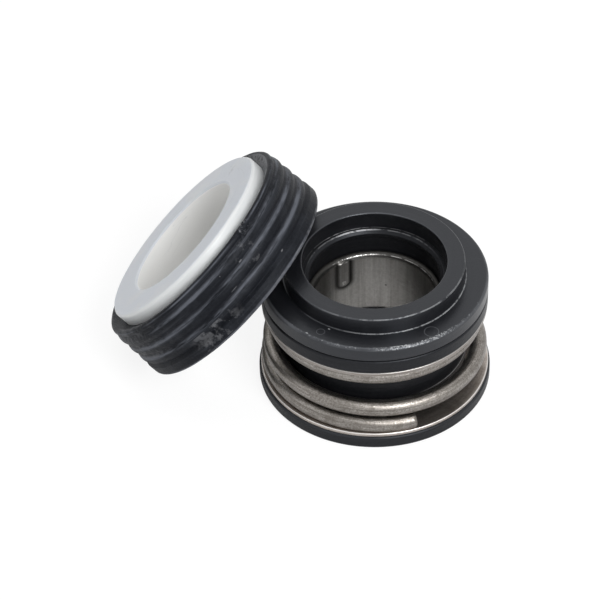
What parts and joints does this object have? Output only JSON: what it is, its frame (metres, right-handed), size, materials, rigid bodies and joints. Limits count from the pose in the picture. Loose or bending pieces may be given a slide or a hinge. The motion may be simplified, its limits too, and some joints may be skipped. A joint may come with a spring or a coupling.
{
  "type": "component mechanical seal",
  "caption": "Single-spring shaft seal: a sprung rotating head with a carbon face ring, and its ceramic seat ring in a ribbed rubber cup leaning on it.",
  "frame": {"origin": "centre of the rotating head's underside, on the shaft axis", "axes": "+Z along the shaft axis from the base ring to the seal face, +X right and +Y away as the pair stands on a table, the seat leaning on the -X side"},
  "size_m": [0.0522, 0.0378, 0.0295],
  "materials": {
    "rubber": "matte",
    "bellows_rubber": "satin",
    "cup_rubber": "matte",
    "spring_steel": "satin",
    "washer_steel": "satin",
    "sleeve_steel": "satin",
    "carbon": "satin",
    "ceramic": "satin"
  },
  "bodies": {
    "head_base": {"base_ring": "rubber", "lower_spring_washer": "washer_steel", "drive_sleeve": "sleeve_steel", "spring": "spring_steel", "bellows": "bellows_rubber", "seat_cup": "cup_rubber", "seat_ring": "ceramic"},
    "seal_face": {"face_ring": "carbon", "upper_spring_washer": "washer_steel"}
  },
  "joints": [
    {"name": "face_travel", "type": "slide", "parent": "head_base", "child": "seal_face", "axis": [0, 0, 1], "range_m": [-0.0025, 0], "stiffness_N_per_m": 5000, "deforming": ["spring", "bellows"]}
  ]
}
